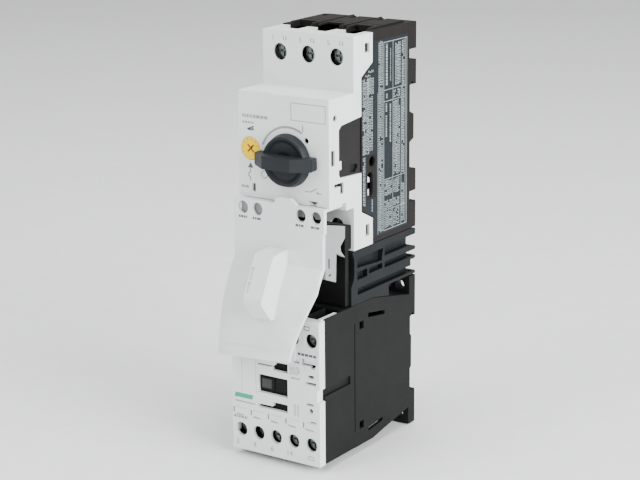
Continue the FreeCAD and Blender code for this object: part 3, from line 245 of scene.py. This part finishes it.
def dress_cad_nodes():
    """Gives every CAD node its material, and rounds the edges of those that show."""
    slot_of = {s["node"]: s["material_slot"] for s in frame["record"]["subparts"]}
    for name, piece in frame["nodes"].items():
        look = NODE_LOOKS.get(name, SLOT_LOOKS[slot_of[name]])
        for holder in piece.material_slots:
            holder.material = look
        if name in EDGE_ROUNDING:
            weld = piece.modifiers.new("weld", "WELD")
            weld.merge_threshold = 0.002 * MM
            flat = piece.modifiers.new("flat", "DECIMATE")
            flat.decimate_type = "DISSOLVE"
            flat.angle_limit = math.radians(0.5)
            bevel = piece.modifiers.new("bevel", "BEVEL")
            bevel.width = EDGE_ROUNDING[name] * MM
            bevel.segments = 2
            bevel.limit_method = "ANGLE"
            bevel.angle_limit = math.radians(38)
            bevel.use_clamp_overlap = True
            bevel.harden_normals = True


# ---------------------------------------------------------------- printed marks
def rect(x0, x1, h0, h1):
    return [(x0, h0), (x1, h0), (x1, h1), (x0, h1)]


def outline(x0, x1, h0, h1, line):
    """Four strips that frame a rectangle."""
    return [rect(x0, x1, h0, h0 + line), rect(x0, x1, h1 - line, h1),
            rect(x0, x0 + line, h0 + line, h1 - line), rect(x1 - line, x1, h0 + line, h1 - line)]


def stroke(x0, h0, x1, h1, line):
    """A straight stroke of that width between two points."""
    length = math.hypot(x1 - x0, h1 - h0)
    dx = (h0 - h1) / length * line / 2
    dh = (x1 - x0) / length * line / 2
    return [(x0 + dx, h0 + dh), (x0 - dx, h0 - dh), (x1 - dx, h1 - dh), (x1 + dx, h1 + dh)]


def arc(x, h, radius, line, start, end, steps=36):
    """A curved band from one angle to another, in degrees, as short quads."""
    quads = []
    for i in range(steps):
        a, b = (math.radians(start + (end - start) * (i + k) / steps) for k in (0, 1))
        inner, outer = radius - line / 2, radius + line / 2
        quads.append([(x + inner * math.cos(a), h + inner * math.sin(a)),
                      (x + outer * math.cos(a), h + outer * math.sin(a)),
                      (x + outer * math.cos(b), h + outer * math.sin(b)),
                      (x + inner * math.cos(b), h + inner * math.sin(b))])
    return quads


def segment(x, h, radius, start, end, steps=16):
    """The part of a disc cut off by the chord between two angles, in degrees."""
    turns = [math.radians(start + (end - start) * i / steps) for i in range(steps + 1)]
    return [(x + radius * math.cos(t), h + radius * math.sin(t)) for t in turns]


def marks(name, shapes, level, look, body="housing", facing="front", lift=INK):
    """Thin printed shapes on a front face (x, height) or on the right flank (y, height)."""
    points = []
    faces = []
    for shape in shapes:
        first = len(points)
        for u, height in shape:
            for off in (0.0, lift):
                points.append(at(u, level - off, height) if facing == "front"
                              else at(level + off, u, height))
        count = len(shape)
        faces.append([first + 2 * i + 1 for i in range(count)])
        for i in range(count):
            j = (i + 1) % count
            faces.append([first + 2 * i, first + 2 * j, first + 2 * j + 1, first + 2 * i + 1])
    mesh = bpy.data.meshes.new(name)
    mesh.from_pydata(points, [], faces)
    mesh.validate()
    mesh.materials.append(look)
    piece = bpy.data.objects.new(name, mesh)
    bpy.context.collection.objects.link(piece)
    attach(piece, body)
    return piece


def numeral(name, text, x, level, height, size, look):
    """A terminal number printed on a front face, centred on x."""
    curve = bpy.data.curves.new(name, "FONT")
    curve.body = text
    curve.align_x = "CENTER"
    curve.size = size * MM
    curve.extrude = INK * MM / 2
    curve.materials.append(look)
    piece = bpy.data.objects.new(name, curve)
    piece.location = at(x, level - INK / 2, height)
    piece.rotation_euler = (math.radians(90), 0, 0)
    bpy.context.collection.objects.link(piece)
    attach(piece, "housing")
    return piece


def text_row(draw, x0, x1, height, tall, gap=0.35):
    """Uneven dashes that stand for a line of small print."""
    shapes = []
    x = x0
    while x < x1 - 0.5:
        wide = min(draw.uniform(0.5, 1.9), x1 - x)
        shapes.append(rect(x, x + wide, height, height + tall))
        x += wide + gap
    return shapes


def breaker_marks():
    face = BREAKER_FACE
    x, h = HANDLE
    marks("face_label_outline", outline(4.0, 21.0, 146.3, 153.7, 0.28), face, PRINT_GREY)
    draw = random.Random(4)
    bars = text_row(draw, -20.4, -7.0, 145.4, 1.3) + text_row(draw, -20.4, -14.6, 142.9, 0.9)
    marks("face_type_bars", bars, face, PRINT_GREY)
    marks("switch_arc", arc(x, h, 13.7, 0.95, 60, 158), face, PRINT_GREY)
    marks("switch_on_bar", [rect(9.6, 10.1, 141.9, 144.9)], face, PRINT_GREY)
    marks("switch_off_ring", arc(-9.6, 122.2, 1.55, 0.4, 0, 360), face, PRINT_GREY)
    dial_x, dial_h = DIAL
    marks("dial_pointer", [[(dial_x - 1.5, dial_h - 8.2), (dial_x + 1.3, dial_h - 8.2),
                            (dial_x - 0.1, dial_h - 5.9)]], face, PRINT_DARK)
    marks("dial_symbol", [stroke(-18.0, 140.6, -14.6, 141.9, 0.55), rect(-17.6, -15.2, 140.1, 140.9),
                          stroke(-15.4, 141.3, -14.4, 140.2, 0.5)], face, PRINT_DARK)
    marks("trip_symbol", [rect(-16.9, -16.55, 122.6, 124.0), stroke(-16.7, 122.6, -17.7, 121.9, 0.35),
                          stroke(-17.6, 122.0, -17.6, 120.8, 0.35), stroke(-17.7, 120.9, -16.7, 120.3, 0.35),
                          rect(-16.9, -16.55, 118.9, 120.4)], face, PRINT_DARK)
    marks("test_caption", text_row(random.Random(7), -21.4, -17.2, 115.6, 1.1, 0.3), face,
          PRINT_GREY)
    marks("switch_symbol", [stroke(10.7, 117.6, 13.4, 117.7, 0.28), stroke(13.4, 117.7, 16.6, 119.5, 0.28),
                            stroke(16.4, 117.6, 18.9, 117.4, 0.28), rect(16.5, 16.8, 117.1, 118.2)],
          face, PRINT_DARK)
    marks("lock_mark", [[(12.3, 113.6), (14.4, 112.2), (16.5, 113.6)]], face + 1.1, PRINT_DARK)
    for number, column in zip((1, 3, 5), (-17.3, -3.6, 10.4)):
        numeral("line_number_%d" % number, str(number), column, SHOULDER, 175.0, 3.1, PRINT_GREY)
    for index, column in enumerate((-12.2, 1.6, 15.8)):
        marks("line_mark_%d" % index, [rect(column, column + 0.4, 175.4, 177.2),
                                       rect(column + 1.0, column + 1.9, 175.4, 175.8),
                                       rect(column + 1.3, column + 1.7, 175.8, 177.2)],
              SHOULDER, PRINT_GREY)


def dial_marks():
    """Slot colour and scale ticks on the setting dial."""
    x, h = DIAL
    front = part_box("current_dial")[0].y / MM
    floor = front + 0.8
    arms = []
    for turn in (45, 135):
        dx, dh = 2.2 * math.cos(math.radians(turn)), 2.2 * math.sin(math.radians(turn))
        arms.append(stroke(x - dx, h - dh, x + dx, h + dh, 0.8))
    marks("dial_slot_floor", arms, floor, PRINT_BROWN, body="dial")
    ticks = []
    for i in range(9):
        turn = math.radians(205 - 31 * i)
        ticks.append(stroke(x + 3.4 * math.cos(turn), h + 3.4 * math.sin(turn),
                            x + 4.2 * math.cos(turn), h + 4.2 * math.sin(turn), 0.22))
    marks("dial_ticks", ticks, front, PRINT_BROWN, body="dial")


LATCH_GAP = (109.6, 128.4)                               # heights of the two latch openings


def print_block(draw, y0, y1, h0, h1, pitch, wide, longest, blank=0.06):
    """Columns of tiny dashes that run up the flank, like very small print."""
    shapes = []
    y = y0
    while y + wide <= y1 + 0.01:
        h = h0 + draw.uniform(0.0, 0.6)
        while h < h1 - 0.3:
            run = min(draw.uniform(0.35, longest), h1 - h)
            if draw.random() > blank:
                shapes.append(rect(y, y + wide, h, h + run))
            h += run + draw.uniform(0.22, 0.4)
        y += pitch
    return shapes


def label_frame():
    """Ruled lines of the label: the long border, the table's frame and its dividers."""
    lines = [rect(-26.1, -25.75, 93.8, 174.0), rect(-26.1, -7.6, 173.9, 174.2),
             rect(-26.1, -7.6, 93.6, 93.9), rect(-7.9, -7.6, 93.9, 173.9),
             rect(-9.0, -8.7, 93.9, 173.9), rect(-30.6, -30.35, 93.0, 153.6),
             rect(-18.9, -18.65, 93.9, 173.9), rect(-12.3, -12.05, 93.9, 154.0)]
    for h in (153.8, 149.0, 115.6, 102.3):
        lines.append(rect(-25.8, -9.0, h, h + 0.28))
    return lines


def label_print():
    """The label's blocks of small print: y range, height range, pitch, width, longest dash."""
    draw = random.Random(11)
    low_gap, high_gap = LATCH_GAP
    blocks = [
        (-42.0, -36.9, high_gap + 0.6, 160.8, 1.0, 0.6, 1.3), (-36.9, -33.3, 129.8, 153.0, 1.5, 0.8, 1.0),
        (-41.9, -39.4, 107.4, high_gap, 1.0, 0.6, 1.3), (-40.0, -35.6, 161.2, 162.4, 1.0, 0.6, 0.9),
        (-38.4, -33.4, 153.8, 161.0, 1.0, 0.6, 1.3), (-37.6, -33.4, 162.6, 164.0, 1.0, 0.6, 0.9),
        (-29.9, -26.6, 93.4, 175.0, 1.15, 0.75, 0.8),
        (-24.3, -22.5, 155.8, 173.2, 1.8, 1.35, 1.1), (-20.9, -20.2, 157.0, 171.5, 1.0, 0.45, 0.8),
        (-24.4, -22.6, 133.6, 148.2, 1.9, 1.0, 0.9), (-21.2, -19.4, 131.0, 148.2, 1.6, 0.9, 0.9),
        (-18.2, -12.5, 116.6, 148.6, 1.05, 0.62, 1.2), (-16.9, -12.6, 155.0, 173.3, 1.1, 0.7, 1.4),
        (-18.2, -13.0, 149.8, 153.2, 1.1, 0.65, 1.0), (-24.0, -22.0, 150.2, 152.6, 1.8, 0.9, 1.2),
        (-11.7, -9.4, 116.2, 173.3, 1.2, 0.75, 1.2),
        (-25.2, -19.3, 108.6, 115.2, 1.0, 0.62, 0.8), (-18.2, -12.6, 108.6, 115.2, 1.0, 0.62, 0.8),
        (-25.2, -19.3, 94.6, 102.0, 1.0, 0.62, 0.8), (-18.2, -12.6, 94.6, 102.0, 1.0, 0.62, 0.8),
        (-25.2, -19.3, 102.8, 106.6, 1.0, 0.62, 0.8), (-18.2, -12.6, 102.8, 106.6, 1.0, 0.62, 0.8),
        (-11.7, -9.4, 94.6, 112.0, 1.2, 0.75, 0.9), (-35.2, -33.8, 104.0, low_gap - 0.4, 1.0, 0.6, 0.9),
    ]
    shapes = []
    for y0, y1, h0, h1, pitch, wide, longest in blocks:
        shapes += print_block(draw, y0, y1, h0, h1, pitch, wide, longest)
    return shapes


def flank_label():
    """Dark film on the breaker's right flank, with a plain generic table printed on it."""
    level = HALF
    # the film is left out round the two latch openings
    low_gap, high_gap = LATCH_GAP
    lower = [(-7.2, 92.6), (-7.2, low_gap), (-42.2, low_gap), (-42.2, 105.9), (-33.4, 101.6),
             (-33.4, 92.6)]
    upper = [(-42.2, high_gap), (-7.2, high_gap), (-7.2, 175.6), (-33.4, 175.6), (-33.4, 167.4),
             (-42.2, 161.6)]
    between = [rect(-42.2, -39.0, low_gap, high_gap), rect(-32.2, -7.2, low_gap, high_gap)]
    marks("flank_label_film", [lower, upper] + between, level, LABEL_DARK,
          facing="flank")
    top = level + INK
    marks("flank_label_lines", label_frame(), top, PRINT_WHITE, facing="flank")
    marks("flank_label_print", label_print(), top, PRINT_WHITE, facing="flank")


def latch_glimpses():
    """Pale ends of the inner frame that show through the latch openings of the right flank."""
    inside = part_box("side_blanking_plates")[1].x / MM - GLIMPSE_DEPTH
    shapes = [segment(-35.1, 125.6, 1.75, 110, 250),
              segment(-36.4, 117.4, 1.7, 0, 180) + [(-38.1, 116.6), (-34.7, 116.6)],
              rect(-38.1, -35.2, 110.9, 113.6)]
    marks("latch_glimpses", shapes, inside, COVER, facing="flank", lift=0.25)


def contactor_marks():
    face = CONTACTOR_FACE
    for number, column in zip(("2", "4", "6", "14"), (-18.0, -9.0, 0.0, 9.0)):
        numeral("load_number_%s" % number, number, column - 2.0, face, 4.8, 3.4, PRINT_GREY)
    marks("coil_mark_low", outline(16.6, 19.4, 5.0, 6.8, 0.3), face, PRINT_GREY)
    marks("coil_mark_high", outline(14.6, 17.4, 61.2, 63.0, 0.3), face + 0.5, PRINT_DARK)
    marks("coil_panel_print", text_row(random.Random(5), 11.4, 20.6, 50.0, 1.1), face + 0.5,
          PRINT_DARK)
    marks("accent_bar", [[(-21.3, 25.9), (-12.0, 25.9), (-11.4, 27.9), (-20.7, 27.9)]], face,
          PRINT_GREEN)
    marks("accent_line", [rect(-21.0, -10.5, 23.9, 24.4)], face, PRINT_GREY)
    marks("window_bars", outline(9.7, 10.4, 23.3, 28.1, 0.2) + outline(11.3, 12.0, 23.3, 28.1, 0.2),
          face, PRINT_GREY)
    draw = random.Random(9)
    cells = []
    for row in range(7):
        for column in range(10):
            if draw.random() < 0.5:
                cells.append(rect(7.6 + column * 0.5, 8.0 + column * 0.5, 41.0 + row * 0.55,
                                  41.4 + row * 0.55))
    marks("generic_grid", cells, face, PRINT_GREY)
    marks("grid_caption", text_row(draw, 8.2, 12.4, 39.2, 0.8, 0.3), face, PRINT_GREY)
    marks("field_caption", text_row(draw, -21.6, -18.2, 44.0, 0.8, 0.3), face, PRINT_GREY)
    marks("flap_caption", text_row(draw, -21.8, -14.6, 16.6, 1.0, 0.3), face, PRINT_GREY)


def link_marks():
    """Small print under the four observation holes of the link cover."""
    draw = random.Random(3)
    for index, column in enumerate((-20.2, -13.0, 8.6, 16.2)):
        shapes = text_row(draw, column, column + 4.4, 103.7, 1.0, 0.25)
        shapes += text_row(draw, column - 0.4, column + 4.8, 101.6, 1.0, 0.25)
        marks("link_print_%d" % index, shapes, LINK_PRINT_Y, PRINT_DARK)


def indicator():
    """Slightly lighter block at the left of the contactor's position indicator."""
    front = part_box("contactor_carrier")[0].y / MM
    marks("indicator_block", [rect(-7.5, -2.6, 32.2, 36.2)], front, PANEL_GREY,
          body="magnet_carrier")


# ---------------------------------------------------------------- stage, light and camera
def stage():
    floor_z = CAD_LOW.z - 0.0005
    mesh = bpy.data.meshes.new("floor")
    reach = 6.0
    mesh.from_pydata([(-reach, -reach, floor_z), (reach, -reach, floor_z), (reach, reach, floor_z),
                      (-reach, reach, floor_z)], [], [[0, 1, 2, 3]])
    mesh.materials.append(plastic("floor_paint", (0.86, 0.87, 0.87), 0.7, grain=200, depth=0.05,
                                  spread=0.02))
    floor = bpy.data.objects.new("floor", mesh)
    bpy.context.collection.objects.link(floor)
    world = bpy.data.worlds.new("studio")
    world.use_nodes = True
    sky = world.node_tree.nodes["Background"]
    sky.inputs["Color"].default_value = (1.0, 1.0, 1.0, 1)
    sky.inputs["Strength"].default_value = 0.70
    bpy.context.scene.world = world


def soft_light(name, place, size, power):
    lamp = bpy.data.lights.new(name, "AREA")
    lamp.shape = "RECTANGLE"
    lamp.size, lamp.size_y = size
    lamp.energy = power
    holder = bpy.data.objects.new(name, lamp)
    bpy.context.collection.objects.link(holder)
    centre = (CAD_LOW + CAD_HIGH) / 2
    holder.location = centre + Vector(place)
    holder.rotation_euler = (-Vector(place)).to_track_quat("-Z", "Y").to_euler()


def lights():
    soft_light("key", (-0.45, -0.95, 0.80), (0.7, 0.7), 8)
    soft_light("side", (1.25, -0.20, 0.42), (0.9, 0.9), 36)
    soft_light("top", (0.0, 0.1, 1.2), (0.9, 0.9), 14)


CAMERA_PLACE = (420.3, -654.7, 288.5)
CAMERA_TARGET = (32.53, -88.38, 105.18)
CAMERA_ROLL = -0.494
CAMERA_LENS = 101.9


def camera():
    """The photograph's viewing angle, slightly rolled."""
    place = at(*CAMERA_PLACE)
    forward = (at(*CAMERA_TARGET) - place).normalized()
    right = forward.cross(Vector((0, 0, 1))).normalized()
    up = right.cross(forward)
    roll = math.radians(CAMERA_ROLL)
    side = right * math.cos(roll) + up * math.sin(roll)
    head = up * math.cos(roll) - right * math.sin(roll)
    lens = bpy.data.cameras.new("camera")
    lens.lens = CAMERA_LENS
    lens.sensor_width = 36
    lens.clip_start = 0.01
    holder = bpy.data.objects.new("camera", lens)
    bpy.context.collection.objects.link(holder)
    turn = Matrix((side, head, -forward)).transposed().to_4x4()
    holder.matrix_world = Matrix.Translation(place) @ turn
    bpy.context.scene.camera = holder


camera()
stage()
lights()
dress_cad_nodes()
breaker_marks()
dial_marks()
flank_label()
latch_glimpses()
contactor_marks()
link_marks()
indicator()
